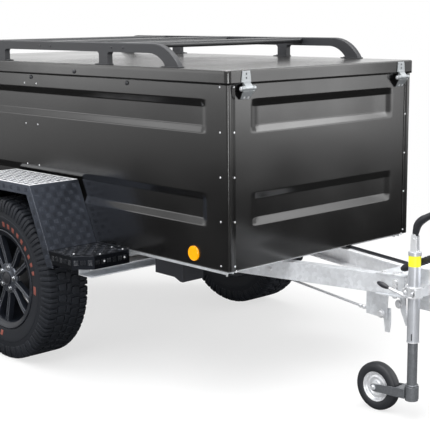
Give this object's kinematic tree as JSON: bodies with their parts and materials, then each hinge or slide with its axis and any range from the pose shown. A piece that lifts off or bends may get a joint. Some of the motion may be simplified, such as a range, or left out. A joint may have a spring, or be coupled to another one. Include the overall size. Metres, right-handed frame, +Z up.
{
  "type": "single-axle off-road box trailer",
  "caption": "Braked box trailer on large off-road tyres, with a roof rack on its hinged lid, a drop tailgate, a V-shaped drawbar, a ball coupling and a jockey wheel.",
  "frame": {"origin": "middle of the trailer's length and width on the ground it stands on", "axes": "+X forward along the drawbar, +Y to the trailer's left, +Z up"},
  "size_m": [3.54, 1.712, 1.485],
  "materials": {
    "box_paint": "satin charcoal powder coat",
    "rack_paint": "fine textured dark grey powder coat",
    "bar_black": "black anodised",
    "galvanised": "hot-dip galvanised with a light spangle",
    "zinc": "bright zinc plate",
    "checker_plate": "bright raised-pattern plate",
    "black_plastic": "moulded, low gloss",
    "tyre": "matt rubber with blocks",
    "alloy": "dark machined alloy",
    "drum": "dull machined",
    "amber": "amber reflector",
    "lamp_red": "red lamp lens",
    "plate_white": "blank plate",
    "plywood": "film-faced plywood",
    "strut_black": "gloss black",
    "chrome": "polished rod"
  },
  "bodies": {
    "chassis": {"side_wall_right": "box_paint", "side_wall_left": "box_paint", "front_wall": "box_paint", "rear_frame": "box_paint", "floor_panel": "plywood", "cross_members": "galvanised", "drawbar_beam_right": "galvanised", "drawbar_beam_left": "galvanised", "axle_tube": "galvanised", "swing_arms": "galvanised", "brake_backplates": "zinc", "fender_right": "checker_plate", "fender_left": "checker_plate", "steps": "black_plastic", "fender_brackets": "galvanised", "overrun_housing": "galvanised", "drawtube": "galvanised", "bellows": "black_plastic", "coupling_head": "zinc", "coupling_handle": "black_plastic", "handbrake_lever": "black_plastic", "jockey_clamp": "zinc", "jockey_outer_tube": "zinc", "jockey_crank": "black_plastic", "brake_rod": "zinc", "brake_bracket": "galvanised", "wiring_conduit": "black_plastic", "light_bar": "box_paint", "tail_lights": "lamp_red", "number_plate": "plate_white", "side_reflectors": "amber", "hinge_leaves": "galvanised", "wheel_chocks": "black_plastic", "wall_strut_studs": "zinc"},
    "lid": {"lid_shell": "box_paint", "hinge_straps": "galvanised", "rack_rails": "rack_paint", "rack_bars": "bar_black", "lid_strut_studs": "zinc"},
    "tailgate": {"tailgate_panel": "box_paint", "tailgate_latches": "zinc"},
    "wheel_right": {"tyre_right": "tyre", "rim_right": "alloy", "hub_drum_right": "drum"},
    "wheel_left": {"tyre_left": "tyre", "rim_left": "alloy", "hub_drum_left": "drum"},
    "jockey_slide": {"jockey_inner_tube": "zinc"},
    "jockey_swivel": {"jockey_fork": "zinc"},
    "jockey_roller": {"jockey_tyre": "tyre", "jockey_rim": "zinc"},
    "struts_lower": {"strut_cylinders": "strut_black"},
    "struts_upper": {"strut_rods": "chrome"}
  },
  "joints": [
    {"name": "lid_hinge", "type": "hinge", "parent": "chassis", "child": "lid", "pos_m": [0.707, 0, 1.314], "axis": [0, 1, 0], "range_deg": [0, 35]},
    {"name": "tailgate_hinge", "type": "hinge", "parent": "chassis", "child": "tailgate", "pos_m": [-1.723, 0, 0.592], "axis": [0, -1, 0], "range_deg": [0, 90]},
    {"name": "wheel_right_spin", "type": "hinge", "parent": "chassis", "child": "wheel_right", "pos_m": [-0.58, -0.7405, 0.384], "axis": [0, 1, 0], "continuous": true},
    {"name": "wheel_left_spin", "type": "hinge", "parent": "chassis", "child": "wheel_left", "pos_m": [-0.58, 0.7405, 0.384], "axis": [0, 1, 0], "continuous": true},
    {"name": "jockey_lift", "type": "slide", "parent": "chassis", "child": "jockey_slide", "axis": [0, 0, 1], "range_m": [-0.05, 0.17]},
    {"name": "jockey_swivel_turn", "type": "hinge", "parent": "jockey_slide", "child": "jockey_swivel", "pos_m": [1.265, -0.135, 0.1], "axis": [0, 0, 1], "continuous": true},
    {"name": "jockey_spin", "type": "hinge", "parent": "jockey_swivel", "child": "jockey_roller", "pos_m": [1.097, -0.135, 0.1], "axis": [0, 1, 0], "continuous": true},
    {"name": "strut_pivot", "type": "hinge", "parent": "chassis", "child": "struts_lower", "pos_m": [0.057, 0, 1.315], "axis": [0, 1, 0], "range_deg": [0, 80]},
    {"name": "strut_slide", "type": "slide", "parent": "struts_lower", "child": "struts_upper", "axis": [-0.9947, 0, 0.1024], "range_m": [0, 0.3]}
  ],
  "couplings": [
    {"joint": "strut_pivot", "follows": "lid_hinge", "ratio": 1.9812},
    {"joint": "strut_slide", "follows": "lid_hinge", "m_per_rad": 0.4347}
  ]
}
